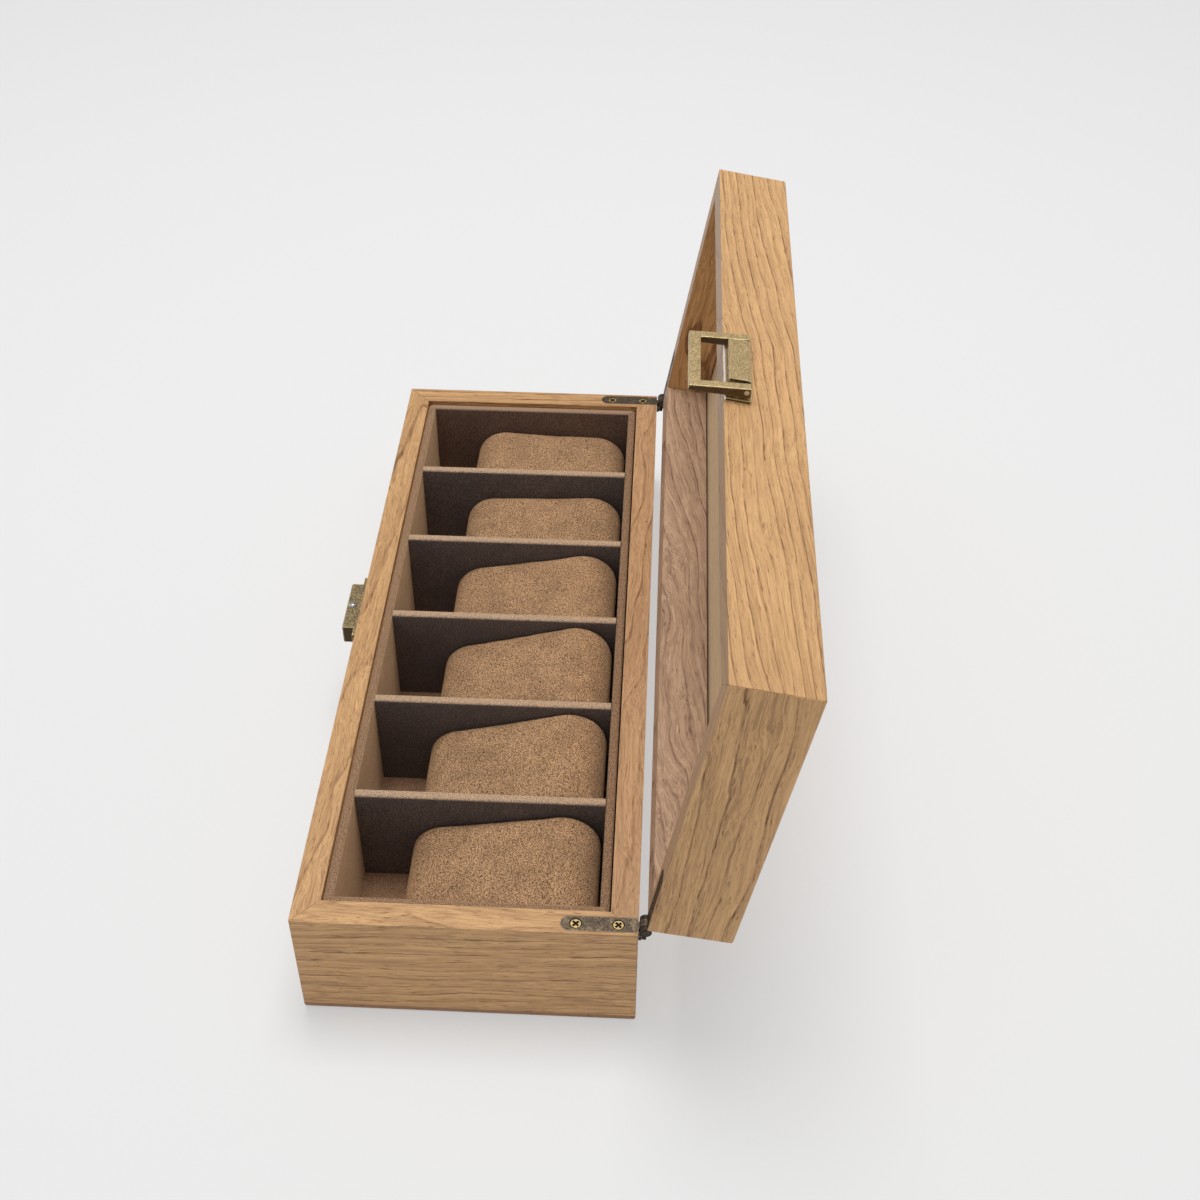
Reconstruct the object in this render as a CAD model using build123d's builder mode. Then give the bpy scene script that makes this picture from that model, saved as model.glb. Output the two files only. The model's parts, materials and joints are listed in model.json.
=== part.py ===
from build123d import *
import math
import os

# Six-slot watch box, in mm. +X runs along the length, -Y is the catch side, +Y the hinge side, +Z is up.
# The origin is the centre of the base's underside. The lid is drawn shut and then swung open to its stop.

# Case
LENGTH = 300.0
WIDTH = 112.0
BASE_HEIGHT = 47.0
TOTAL_HEIGHT = 75.0
WALL = 9.0
BOTTOM_BOARD = 3.0
TOP_PANEL = 9.5
SHADOW_GAP = 0.7
SHADOW_GAP_DEPTH = 1.2
SEAM = 0.2
EDGE_ROUND = 0.6
TOP_ROUND = 0.9
FOOT_ROUND = 1.6
LID_RIM = BASE_HEIGHT + SEAM

# Suede-covered card lining and dividers
LINING_GAP = 0.3
INSERT_Y = -0.2
LINING = 3.2
FLOOR_LINING = 0.8
LINING_DROP = 1.5
LINING_ROUND = 1.1
INSERT_CORNER = 2.0
DIVIDER = 3.6
DIVIDER_GAP = 0.1
SLOTS = 6
FLOOR = BOTTOM_BOARD + FLOOR_LINING
LINING_TOP = BASE_HEIGHT - LINING_DROP
INSERT_LENGTH = LENGTH - 2 * (WALL + LINING_GAP)
INSERT_WIDTH = WIDTH - 2 * (WALL + LINING_GAP)
TRAY_LENGTH = INSERT_LENGTH - 2 * LINING
TRAY_WIDTH = INSERT_WIDTH - 2 * LINING
SLOT_WIDTH = (TRAY_LENGTH - (SLOTS - 1) * DIVIDER) / SLOTS
SLOT_PITCH = SLOT_WIDTH + DIVIDER

# Pillows: a rounded bar that lies across its slot, pushed to the back and tipped by its own angle
PILLOW_DEPTH = 67.5
PILLOW_HEIGHT = 29.5
PILLOW_ROUND = 13.5
PILLOW_END_ROUND = 1.5
PILLOW_SIDE_GAP = 0.7
PILLOW_BACK_GAP = 0.9
PILLOW_FLOOR_GAP = 0.3
PILLOW_TILTS = (-2.0, 2.3, 11.4, 15.3, 14.9, 10.3)

# Stop hinges: leaves let into the rims, knuckles behind the back wall
OPEN_ANGLE = 100.0
PIVOT_Y = WIDTH / 2 + 2.35
PIVOT_Z = BASE_HEIGHT + SEAM / 2
HINGE_LINE = Axis((0, PIVOT_Y, PIVOT_Z), (-1, 0, 0))
LEAF_X = 146.0
LEAF_WIDTH = 5.8
LEAF_FRONT = 31.0
LEAF_THICK = 1.6
LEAF_FIT = 0.1
KNUCKLE_RADIUS = 2.0
KNUCKLE_WIDTH = 1.9
KNUCKLE_GAP = 0.1
HINGE_PIN_RADIUS = 1.1
HINGE_PIN_PROUD = 0.2
PIN_CHAMFER = 0.15
HINGE_RUNNING_FIT = 0.05
STOP_TAB_GAP = 0.05
STOP_TAB_THICK = 1.0
STOP_TAB_DROP = 3.8
STOP_LUG_REACH = 3.5
STOP_LUG_THICK = 1.4
LEAF_SCREWS_Y = (35.9, 49.6)

# Countersunk cross-head screws
SCREW_HEAD_RADIUS = 1.65
SCREW_HEAD_HEIGHT = 1.0
SCREW_SINK = 0.2
SCREW_SHANK_RADIUS = 0.95
SCREW_LENGTH = 9.0
SINK_RADIUS = 2.15
SINK_DEPTH = 1.35
CROSS_LENGTH = 2.7
CROSS_WIDTH = 0.85
CROSS_DEPTH = 0.7

# Hasp on the lid front and catch on the base front
HASP_X = -2.0
FRONT = -WIDTH / 2
PLATE_THICK = 1.2
PLATE_HALF = 17.0
PLATE_ROUND = 0.8
BRACKET_LOW = LID_RIM + 0.1
BRACKET_HIGH = BRACKET_LOW + 9.1
BRACKET_MIDDLE = BRACKET_LOW + 3.9
HASP_PIN_RADIUS = 0.65
HASP_PIN_PROUD = 4.2
HASP_PIN_Z = BASE_HEIGHT + 7.1
HASP_PIN_END = 0.15
HASP_RUNNING_FIT = 0.05
BARREL_RADIUS = 1.8
COVER_HALF = 12.2
COVER_THICK = 1.1
COVER_LOW = LID_RIM + 0.65
COVER_ROUND = 0.45
LOOP_HALF = 16.8
LOOP_WINDOW_HALF = 13.2
LOOP_BAR_TOP = 38.6
LOOP_TIP_Z = 34.6
LOOP_TIP_INNER = 1.3
LOOP_TIP_OUTER = 3.5
LOOP_HEEL_Z = 55.9
LOOP_HEEL_SLOPE = 0.6
LOOP_HEEL_INNER = 2.3
LOOP_HEEL_OUTER = 5.9
LOOP_EDGE = 0.35
CATCH_LOW = 38.8
CATCH_HIGH = 46.4
CATCH_MIDDLE = (CATCH_LOW + CATCH_HIGH) / 2
CATCH_HALF = 12.6
CATCH_PROUD = 5.7
CATCH_EDGE = 0.4
CATCH_SCREW_Y = FRONT - 3.5
CATCH_SCREW_RADIUS = 1.5
CATCH_SCREW_CROWN = 1.2
CATCH_SCREW_DISH = 0.25
CATCH_SCREW_SEAT = 0.8
CATCH_SCREW_SHANK = 0.9
CATCH_SLOT_WIDTH = 0.55
CATCH_SLOT_DEPTH = 0.45
BRAD_X = 14.9
BRAD_RADIUS = 1.1
BRAD_PROUD = 0.25
BRAD_ROUND = 0.15
BRAD_SHANK = 0.6
BRAD_LENGTH = 6.5

MARGIN = 1.0
SIDES = {"left": -1, "right": 1}

pieces = {}
lid_pieces = {}


def wall_sector(side, length, width, reach):
    """Corners of the trapezoid that one mitred wall keeps, reaching in from the outer edge."""
    half_length = length / 2
    half_width = width / 2
    if side in ("front", "back"):
        sign = -1 if side == "front" else 1
        outer_y = sign * (half_width + MARGIN)
        inner_y = sign * (half_width - reach)
        outer_x = half_length + MARGIN
        inner_x = half_length - reach
        return [(-outer_x, outer_y), (outer_x, outer_y), (inner_x, inner_y), (-inner_x, inner_y)]
    sign = SIDES[side]
    outer_x = sign * (half_length + MARGIN)
    inner_x = sign * (half_length - reach)
    outer_y = half_width + MARGIN
    inner_y = half_width - reach
    return [(outer_x, -outer_y), (outer_x, outer_y), (inner_x, inner_y), (inner_x, -inner_y)]


def ring(length, width, wall, low, high):
    """A rectangular frame of four walls in one piece, before it is cut at the mitres."""
    with BuildPart() as frame:
        with BuildSketch(Plane.XY.offset(low)):
            Rectangle(length, width)
            Rectangle(length - 2 * wall, width - 2 * wall, mode=Mode.SUBTRACT)
        extrude(amount=high - low)
    return frame


def round_outer_corners(frame, length, radius):
    """Rounds the four upright edges on the outside of a frame or board."""
    upright = frame.edges().filter_by(Axis.Z)
    outer = upright.filter_by(lambda edge: abs(abs(edge.center().X) - length / 2) < 0.01)
    fillet(outer, radius)


def mitred_wall(frame, side, length, width, wall, low, high):
    """One wall cut from a frame along its two mitres."""
    with BuildPart() as piece:
        add(frame.part)
        with BuildSketch(Plane.XY.offset(low - MARGIN)):
            Polygon(*wall_sector(side, length, width, wall + MARGIN), align=None)
        extrude(amount=high - low + 2 * MARGIN, mode=Mode.INTERSECT)
    return piece


def leaf_outline(grow):
    """A hinge leaf's plan on its own origin: a strip with a round front end, its back at the back wall."""
    half = LEAF_WIDTH / 2 + grow
    centre = LEAF_FRONT + LEAF_WIDTH / 2
    with Locations((0, centre)):
        Circle(half)
    with Locations((0, (centre + WIDTH / 2) / 2)):
        Rectangle(2 * half, WIDTH / 2 - centre)


def leaf_seats(low, depth):
    """The seats for a pair of hinge leaves, with the pilot holes under them, as one tool to subtract."""
    with BuildPart() as seats:
        for sign in SIDES.values():
            with BuildSketch(Plane((sign * LEAF_X, 0, low))):
                leaf_outline(LEAF_FIT)
            extrude(amount=depth)
            with BuildSketch(Plane((sign * LEAF_X, 0, low))):
                with Locations(*[(0, y) for y in LEAF_SCREWS_Y]):
                    Circle(SCREW_SHANK_RADIUS)
            extrude(amount=math.copysign(SCREW_LENGTH + MARGIN, depth))
    return seats


def brad_holes(height):
    """The two brad holes through a front plate and into the wall at one height, as one tool to subtract."""
    with BuildPart() as holes:
        start = Plane((HASP_X, FRONT - MARGIN - PLATE_THICK, height), x_dir=(1, 0, 0), z_dir=(0, 1, 0))
        with BuildSketch(start):
            with Locations((-BRAD_X, 0), (BRAD_X, 0)):
                Circle(BRAD_SHANK)
        extrude(amount=BRAD_LENGTH + MARGIN + PLATE_THICK)
    return holes


def brad_pair(height):
    """Two small round nails driven into the wood on one line."""
    with BuildPart() as brads:
        with BuildSketch(Plane((HASP_X, FRONT - PLATE_THICK, height), x_dir=(1, 0, 0), z_dir=(0, -1, 0))):
            with Locations((-BRAD_X, 0), (BRAD_X, 0)):
                Circle(BRAD_RADIUS)
        extrude(amount=BRAD_PROUD)
        fillet(brads.faces().sort_by(Axis.Y)[:2].edges(), BRAD_ROUND)
        with BuildSketch(Plane((HASP_X, FRONT - PLATE_THICK, height), x_dir=(1, 0, 0), z_dir=(0, 1, 0))):
            with Locations((-BRAD_X, 0), (BRAD_X, 0)):
                Circle(BRAD_SHANK)
        extrude(amount=BRAD_LENGTH)
    return brads


def screw_set(seat, up):
    """Four cross-head screws in the two leaves of one half; up is +1 where their heads face up."""
    with BuildPart() as screws:
        for sign in SIDES.values():
            for y in LEAF_SCREWS_Y:
                head = Plane((sign * LEAF_X, y, seat - up * SCREW_SINK), x_dir=(1, 0, 0), z_dir=(0, 0, -up))
                with BuildSketch(head):
                    Circle(SCREW_HEAD_RADIUS)
                with BuildSketch(head.offset(SCREW_HEAD_HEIGHT)):
                    Circle(SCREW_SHANK_RADIUS)
                loft()
                with BuildSketch(head.offset(SCREW_HEAD_HEIGHT)):
                    Circle(SCREW_SHANK_RADIUS)
                extrude(amount=SCREW_LENGTH - SCREW_HEAD_HEIGHT)
                with BuildSketch(head):
                    Rectangle(CROSS_LENGTH, CROSS_WIDTH, rotation=45)
                    Rectangle(CROSS_WIDTH, CROSS_LENGTH, rotation=45)
                extrude(amount=CROSS_DEPTH, mode=Mode.SUBTRACT)
    return screws


def hinge_leaf(sign, seat, up, knuckles):
    """One leaf with its countersunk holes and knuckles; each knuckle is its (near, far) offsets in X."""
    with BuildPart() as leaf:
        with BuildSketch(Plane((sign * LEAF_X, 0, seat))):
            leaf_outline(0)
        extrude(amount=-up * LEAF_THICK)
        for near, far in knuckles:
            side_view = Plane((sign * LEAF_X + near, 0, 0), x_dir=(0, 1, 0), z_dir=(1, 0, 0))
            with BuildSketch(side_view):
                with Locations((PIVOT_Y, PIVOT_Z)):
                    Circle(KNUCKLE_RADIUS)
                with Locations(((WIDTH / 2 - MARGIN + PIVOT_Y) / 2, seat - up * LEAF_THICK / 2)):
                    Rectangle(PIVOT_Y - WIDTH / 2 + MARGIN, LEAF_THICK)
            extrude(amount=far - near)
            if up < 0:
                with BuildSketch(side_view):
                    with Locations((PIVOT_Y + STOP_LUG_REACH / 2, PIVOT_Z)):
                        Rectangle(STOP_LUG_REACH, STOP_LUG_THICK)
                extrude(amount=far - near)
        if up > 0:
            tab_y = WIDTH / 2 + STOP_TAB_GAP
            with BuildSketch(Plane((sign * LEAF_X, tab_y + STOP_TAB_THICK / 2, seat - LEAF_THICK))):
                Rectangle(LEAF_WIDTH, STOP_TAB_THICK)
            extrude(amount=-(STOP_TAB_DROP - LEAF_THICK))
        for y in LEAF_SCREWS_Y:
            top = Plane((sign * LEAF_X, y, seat), x_dir=(1, 0, 0), z_dir=(0, 0, -up))
            with BuildSketch(top):
                Circle(SINK_RADIUS)
            with BuildSketch(top.offset(SINK_DEPTH)):
                Circle(SCREW_SHANK_RADIUS)
            loft(mode=Mode.SUBTRACT)
            with BuildSketch(top):
                Circle(SCREW_SHANK_RADIUS)
            extrude(amount=LEAF_THICK, mode=Mode.SUBTRACT)
        bore = HINGE_PIN_RADIUS if up > 0 else HINGE_PIN_RADIUS + HINGE_RUNNING_FIT
        with BuildSketch(Plane((sign * LEAF_X - LEAF_WIDTH, 0, 0), x_dir=(0, 1, 0), z_dir=(1, 0, 0))):
            with Locations((PIVOT_Y, PIVOT_Z)):
                Circle(bore)
        extrude(amount=2 * LEAF_WIDTH, mode=Mode.SUBTRACT)
    return leaf


# Base case: four mitred walls on a bottom board
with BuildPart() as base_ring:
    add(ring(LENGTH, WIDTH, WALL, BOTTOM_BOARD, BASE_HEIGHT).part)
    round_outer_corners(base_ring, LENGTH, EDGE_ROUND)
    add(leaf_seats(BASE_HEIGHT, -LEAF_THICK).part, mode=Mode.SUBTRACT)
    add(brad_holes(CATCH_MIDDLE).part, mode=Mode.SUBTRACT)
for side in ("front", "back", "left", "right"):
    wall = mitred_wall(base_ring, side, LENGTH, WIDTH, WALL, BOTTOM_BOARD, BASE_HEIGHT)
    wall.part.label = f"base_{side}_wall"
    pieces[wall.part.label] = wall.part

with BuildPart() as bottom_board:
    with BuildSketch():
        Rectangle(LENGTH, WIDTH)
    extrude(amount=BOTTOM_BOARD)
    round_outer_corners(bottom_board, LENGTH, EDGE_ROUND)
    fillet(bottom_board.faces().sort_by(Axis.Z)[0].edges(), FOOT_ROUND)
bottom_board.part.label = "base_bottom_board"
pieces["base_bottom_board"] = bottom_board.part

# Lining: a floor card, four wall cards mitred at the corners, five dividers
with BuildPart() as floor_lining:
    with BuildSketch(Plane((0, INSERT_Y, BOTTOM_BOARD))):
        Rectangle(INSERT_LENGTH, INSERT_WIDTH)
    extrude(amount=FLOOR_LINING)
floor_lining.part.label = "floor_lining"
pieces["floor_lining"] = floor_lining.part

with BuildPart() as lining_ring:
    add(ring(INSERT_LENGTH, INSERT_WIDTH, LINING, FLOOR, LINING_TOP).part)
    round_outer_corners(lining_ring, INSERT_LENGTH, INSERT_CORNER)
    fillet(lining_ring.faces().sort_by(Axis.Z)[-1].edges(), LINING_ROUND)
for side in ("front", "back", "left", "right"):
    card = mitred_wall(lining_ring, side, INSERT_LENGTH, INSERT_WIDTH, LINING, FLOOR, LINING_TOP)
    lining_card = card.part.translate((0, INSERT_Y, 0))
    lining_card.label = f"lining_{side}"
    pieces[lining_card.label] = lining_card

for number in range(1, SLOTS):
    divider_x = (number - SLOTS / 2) * SLOT_PITCH
    with BuildPart() as divider:
        with BuildSketch(Plane((divider_x, INSERT_Y, FLOOR))):
            Rectangle(DIVIDER, TRAY_WIDTH - 2 * DIVIDER_GAP)
        extrude(amount=LINING_TOP - FLOOR)
        fillet(divider.faces().sort_by(Axis.Z)[-1].edges().filter_by(Axis.Y), LINING_ROUND)
    divider.part.label = f"divider_{number}"
    pieces[divider.part.label] = divider.part

# Pillows
for number, tilt in enumerate(PILLOW_TILTS, start=1):
    lean = math.radians(tilt)
    flat_y = PILLOW_DEPTH / 2 - PILLOW_ROUND
    flat_z = PILLOW_HEIGHT / 2 - PILLOW_ROUND
    half_y = flat_y * math.cos(lean) + flat_z * abs(math.sin(lean)) + PILLOW_ROUND
    half_z = flat_y * abs(math.sin(lean)) + flat_z * math.cos(lean) + PILLOW_ROUND
    pillow_x = (number - (SLOTS + 1) / 2) * SLOT_PITCH
    pillow_y = INSERT_Y + TRAY_WIDTH / 2 - PILLOW_BACK_GAP - half_y
    pillow_z = FLOOR + PILLOW_FLOOR_GAP + half_z
    depthwise = (0, math.cos(lean), math.sin(lean))
    with BuildPart() as pillow:
        with BuildSketch(Plane((pillow_x, pillow_y, pillow_z), x_dir=depthwise, z_dir=(1, 0, 0))):
            RectangleRounded(PILLOW_DEPTH, PILLOW_HEIGHT, PILLOW_ROUND)
        extrude(amount=SLOT_WIDTH / 2 - PILLOW_SIDE_GAP, both=True)
        fillet(pillow.faces().filter_by(Axis.X).edges(), PILLOW_END_ROUND)
    pillow.part.label = f"pillow_{number}"
    pieces[pillow.part.label] = pillow.part

# Catch: a plate with a raised block that stands through the hasp's window
with BuildPart() as catch_plate:
    with BuildSketch(Plane((HASP_X, FRONT, 0), x_dir=(1, 0, 0), z_dir=(0, -1, 0))):
        with Locations((0, CATCH_MIDDLE)):
            RectangleRounded(2 * PLATE_HALF, CATCH_HIGH - CATCH_LOW, PLATE_ROUND)
    extrude(amount=PLATE_THICK)
    with BuildSketch(Plane((HASP_X, FRONT, 0), x_dir=(1, 0, 0), z_dir=(0, -1, 0))):
        with Locations((0, CATCH_MIDDLE)):
            Rectangle(2 * CATCH_HALF, CATCH_HIGH - CATCH_LOW)
    extrude(amount=CATCH_PROUD)
    chamfer(catch_plate.faces().sort_by(Axis.Y)[0].edges(), CATCH_EDGE)
    with BuildSketch(Plane((HASP_X, CATCH_SCREW_Y, CATCH_HIGH))):
        Circle(CATCH_SCREW_RADIUS)
    extrude(amount=-CATCH_SCREW_SEAT, mode=Mode.SUBTRACT)
    seat_edge = catch_plate.edges().filter_by(GeomType.CIRCLE).sort_by(Axis.Z)[-1]
    chamfer(seat_edge, CATCH_SCREW_DISH)
    with BuildSketch(Plane((HASP_X, CATCH_SCREW_Y, CATCH_HIGH))):
        Circle(CATCH_SCREW_SHANK)
    extrude(amount=-(CATCH_HIGH - CATCH_LOW), mode=Mode.SUBTRACT)
    add(brad_holes(CATCH_MIDDLE).part, mode=Mode.SUBTRACT)
catch_plate.part.label = "catch_plate"
pieces["catch_plate"] = catch_plate.part

with BuildPart() as catch_screw:
    with BuildSketch(Plane((HASP_X, CATCH_SCREW_Y, CATCH_HIGH - CATCH_SCREW_SEAT))):
        Circle(CATCH_SCREW_RADIUS)
    extrude(amount=CATCH_SCREW_SEAT + CATCH_SCREW_CROWN)
    fillet(catch_screw.faces().sort_by(Axis.Z)[-1].edges(), CATCH_SCREW_CROWN)
    with BuildSketch(Plane((HASP_X, CATCH_SCREW_Y, CATCH_HIGH + CATCH_SCREW_CROWN))):
        Rectangle(CATCH_SLOT_WIDTH, 2 * CATCH_SCREW_RADIUS)
    extrude(amount=-CATCH_SLOT_DEPTH, mode=Mode.SUBTRACT)
    with BuildSketch(Plane((HASP_X, CATCH_SCREW_Y, CATCH_HIGH - CATCH_SCREW_SEAT))):
        Circle(CATCH_SCREW_SHANK)
    extrude(amount=-(CATCH_HIGH - CATCH_SCREW_SEAT - CATCH_LOW - MARGIN))
catch_screw.part.label = "catch_screw"
pieces["catch_screw"] = catch_screw.part

catch_brads = brad_pair(CATCH_MIDDLE)
catch_brads.part.label = "catch_brads"
pieces["catch_brads"] = catch_brads.part

# Hinges: the base leaf has the middle knuckle and the stop tab, the lid leaf the outer two and the lugs
MIDDLE_KNUCKLE = [(-KNUCKLE_WIDTH / 2, KNUCKLE_WIDTH / 2)]
OUTER_START = KNUCKLE_WIDTH / 2 + KNUCKLE_GAP
OUTER_KNUCKLES = [(-LEAF_WIDTH / 2, -OUTER_START), (OUTER_START, LEAF_WIDTH / 2)]
for side, sign in SIDES.items():
    base_leaf = hinge_leaf(sign, BASE_HEIGHT, 1, MIDDLE_KNUCKLE)
    base_leaf.part.label = f"hinge_base_leaf_{side}"
    pieces[base_leaf.part.label] = base_leaf.part

    lid_leaf = hinge_leaf(sign, LID_RIM, -1, OUTER_KNUCKLES)
    lid_leaf.part.label = f"hinge_lid_leaf_{side}"
    lid_pieces[lid_leaf.part.label] = lid_leaf.part

    with BuildPart() as hinge_pin:
        with BuildSketch(Plane((sign * LEAF_X, 0, 0), x_dir=(0, 1, 0), z_dir=(1, 0, 0))):
            with Locations((PIVOT_Y, PIVOT_Z)):
                Circle(HINGE_PIN_RADIUS)
        extrude(amount=LEAF_WIDTH / 2 + HINGE_PIN_PROUD, both=True)
        chamfer(hinge_pin.faces().filter_by(Axis.X).edges(), PIN_CHAMFER)
    hinge_pin.part.label = f"hinge_pin_{side}"
    pieces[hinge_pin.part.label] = hinge_pin.part

base_screws = screw_set(BASE_HEIGHT, 1)
base_screws.part.label = "hinge_base_screws"
pieces["hinge_base_screws"] = base_screws.part

lid_screws = screw_set(LID_RIM, -1)
lid_screws.part.label = "hinge_lid_screws"
lid_pieces["hinge_lid_screws"] = lid_screws.part

# Lid: four mitred walls under a top panel, with a narrow shadow gap inside where they meet it
PANEL_LOW = TOTAL_HEIGHT - TOP_PANEL
with BuildPart() as lid_ring:
    add(ring(LENGTH, WIDTH, WALL, LID_RIM, PANEL_LOW).part)
    round_outer_corners(lid_ring, LENGTH, EDGE_ROUND)
    add(leaf_seats(LID_RIM, LEAF_THICK).part, mode=Mode.SUBTRACT)
    add(brad_holes(BRACKET_MIDDLE).part, mode=Mode.SUBTRACT)
    with BuildSketch(Plane.XY.offset(PANEL_LOW)):
        Rectangle(LENGTH - 2 * (WALL - SHADOW_GAP_DEPTH), WIDTH - 2 * (WALL - SHADOW_GAP_DEPTH))
    extrude(amount=-SHADOW_GAP, mode=Mode.SUBTRACT)
for side in ("front", "back", "left", "right"):
    wall = mitred_wall(lid_ring, side, LENGTH, WIDTH, WALL, LID_RIM, PANEL_LOW)
    wall.part.label = f"lid_{side}_wall"
    lid_pieces[wall.part.label] = wall.part

with BuildPart() as lid_top_panel:
    with BuildSketch(Plane.XY.offset(PANEL_LOW)):
        Rectangle(LENGTH, WIDTH)
    extrude(amount=TOP_PANEL)
    round_outer_corners(lid_top_panel, LENGTH, EDGE_ROUND)
    fillet(lid_top_panel.faces().sort_by(Axis.Z)[-1].edges(), TOP_ROUND)
lid_top_panel.part.label = "lid_top_panel"
lid_pieces["lid_top_panel"] = lid_top_panel.part

# Hasp bracket: a plate on the wood, a barrel for the pin and a cover that hangs down from the barrel
PIN_Y = FRONT - HASP_PIN_PROUD
PLATE_FACE = FRONT - PLATE_THICK
hasp_side_view = Plane((HASP_X, 0, 0), x_dir=(0, 1, 0), z_dir=(1, 0, 0))
with BuildPart() as hasp_bracket:
    with BuildSketch(Plane((HASP_X, FRONT, 0), x_dir=(1, 0, 0), z_dir=(0, -1, 0))):
        with Locations((0, (BRACKET_LOW + BRACKET_HIGH) / 2)):
            RectangleRounded(2 * PLATE_HALF, BRACKET_HIGH - BRACKET_LOW, PLATE_ROUND)
    extrude(amount=PLATE_THICK)
    with BuildSketch(hasp_side_view):
        with Locations((PIN_Y, HASP_PIN_Z)):
            Circle(BARREL_RADIUS)
        with Locations(((PLATE_FACE + PIN_Y) / 2, HASP_PIN_Z + BARREL_RADIUS / 2)):
            Rectangle(PLATE_FACE - PIN_Y, BARREL_RADIUS)
        with Locations((PIN_Y - BARREL_RADIUS + COVER_THICK / 2, (COVER_LOW + HASP_PIN_Z) / 2)):
            Rectangle(COVER_THICK, HASP_PIN_Z - COVER_LOW)
    extrude(amount=COVER_HALF, both=True)
    outer_sheet = hasp_bracket.faces().sort_by(Axis.Y)[0]
    fillet(outer_sheet.edges().filter_by(Axis.X).sort_by(Axis.Z)[0], COVER_ROUND)
    with BuildSketch(Plane((HASP_X - LOOP_HALF, 0, 0), x_dir=(0, 1, 0), z_dir=(1, 0, 0))):
        with Locations((PIN_Y, HASP_PIN_Z)):
            Circle(HASP_PIN_RADIUS)
    extrude(amount=2 * LOOP_HALF, mode=Mode.SUBTRACT)
    add(brad_holes(BRACKET_MIDDLE).part, mode=Mode.SUBTRACT)
hasp_bracket.part.label = "hasp_bracket"
lid_pieces["hasp_bracket"] = hasp_bracket.part

with BuildPart() as hasp_pin:
    with BuildSketch(hasp_side_view):
        with Locations((PIN_Y, HASP_PIN_Z)):
            Circle(HASP_PIN_RADIUS)
    extrude(amount=LOOP_HALF + HASP_PIN_END, both=True)
    chamfer(hasp_pin.faces().filter_by(Axis.X).edges(), PIN_CHAMFER)
hasp_pin.part.label = "hasp_pin"
lid_pieces["hasp_pin"] = hasp_pin.part

hasp_brads = brad_pair(BRACKET_MIDDLE)
hasp_brads.part.label = "hasp_brads"
lid_pieces["hasp_brads"] = hasp_brads.part

# Hasp loop: a bar and two arms, wedge-shaped from the side, thickest at the pin
with BuildPart() as hasp_loop:
    with BuildSketch(hasp_side_view):
        with BuildLine():
            Polyline(
                (FRONT - LOOP_HEEL_INNER, LOOP_HEEL_Z),
                (FRONT - LOOP_HEEL_OUTER, LOOP_HEEL_Z - LOOP_HEEL_SLOPE),
                (FRONT - LOOP_TIP_OUTER, LOOP_TIP_Z),
                (FRONT - LOOP_TIP_INNER, LOOP_TIP_Z),
                close=True,
            )
        make_face()
    extrude(amount=LOOP_HALF, both=True)
    with BuildSketch(Plane((HASP_X, FRONT, 0), x_dir=(1, 0, 0), z_dir=(0, -1, 0))):
        with Locations((0, (LOOP_BAR_TOP + LOOP_HEEL_Z + MARGIN) / 2)):
            Rectangle(2 * LOOP_WINDOW_HALF, LOOP_HEEL_Z + MARGIN - LOOP_BAR_TOP)
    extrude(amount=2 * LOOP_HEEL_OUTER, mode=Mode.SUBTRACT)
    fillet(hasp_loop.edges(), LOOP_EDGE)
    with BuildSketch(Plane((HASP_X - LOOP_HALF - MARGIN, 0, 0), x_dir=(0, 1, 0), z_dir=(1, 0, 0))):
        with Locations((PIN_Y, HASP_PIN_Z)):
            Circle(HASP_PIN_RADIUS + HASP_RUNNING_FIT)
    extrude(amount=2 * (LOOP_HALF + MARGIN), mode=Mode.SUBTRACT)
hasp_loop.part.label = "hasp_loop"
lid_pieces["hasp_loop"] = hasp_loop.part

# Every lid piece swings about the hinge line to the open stop, and every piece is written
for label, shut in lid_pieces.items():
    pieces[label] = shut.rotate(HINGE_LINE, OPEN_ANGLE)
    pieces[label].label = label

os.makedirs("parts", exist_ok=True)
for label, piece in pieces.items():
    export_step(piece, f"parts/{label}.step")
print(len(pieces), "pieces written")
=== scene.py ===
import json
import math

import bmesh
import bpy
from mathutils import Matrix, Vector, noise


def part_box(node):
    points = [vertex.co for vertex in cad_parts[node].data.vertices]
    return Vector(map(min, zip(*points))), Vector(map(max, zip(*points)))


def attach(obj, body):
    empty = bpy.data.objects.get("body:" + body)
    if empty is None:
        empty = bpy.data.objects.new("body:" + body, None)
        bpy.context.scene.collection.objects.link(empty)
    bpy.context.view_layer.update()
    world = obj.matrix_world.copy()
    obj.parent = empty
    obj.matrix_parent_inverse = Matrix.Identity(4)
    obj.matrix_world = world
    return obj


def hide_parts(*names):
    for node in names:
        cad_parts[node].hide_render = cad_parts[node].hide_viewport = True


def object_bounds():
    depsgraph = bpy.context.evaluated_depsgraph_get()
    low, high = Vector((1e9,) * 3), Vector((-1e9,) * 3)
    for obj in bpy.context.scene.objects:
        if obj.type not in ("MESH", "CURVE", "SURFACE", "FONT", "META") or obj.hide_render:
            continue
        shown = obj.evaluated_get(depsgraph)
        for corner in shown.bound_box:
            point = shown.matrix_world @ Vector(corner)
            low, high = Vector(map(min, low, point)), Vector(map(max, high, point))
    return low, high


# A six-slot oak watch box with its lid open. Metres, +X along the length, +Y the hinge side, +Z up.

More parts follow.
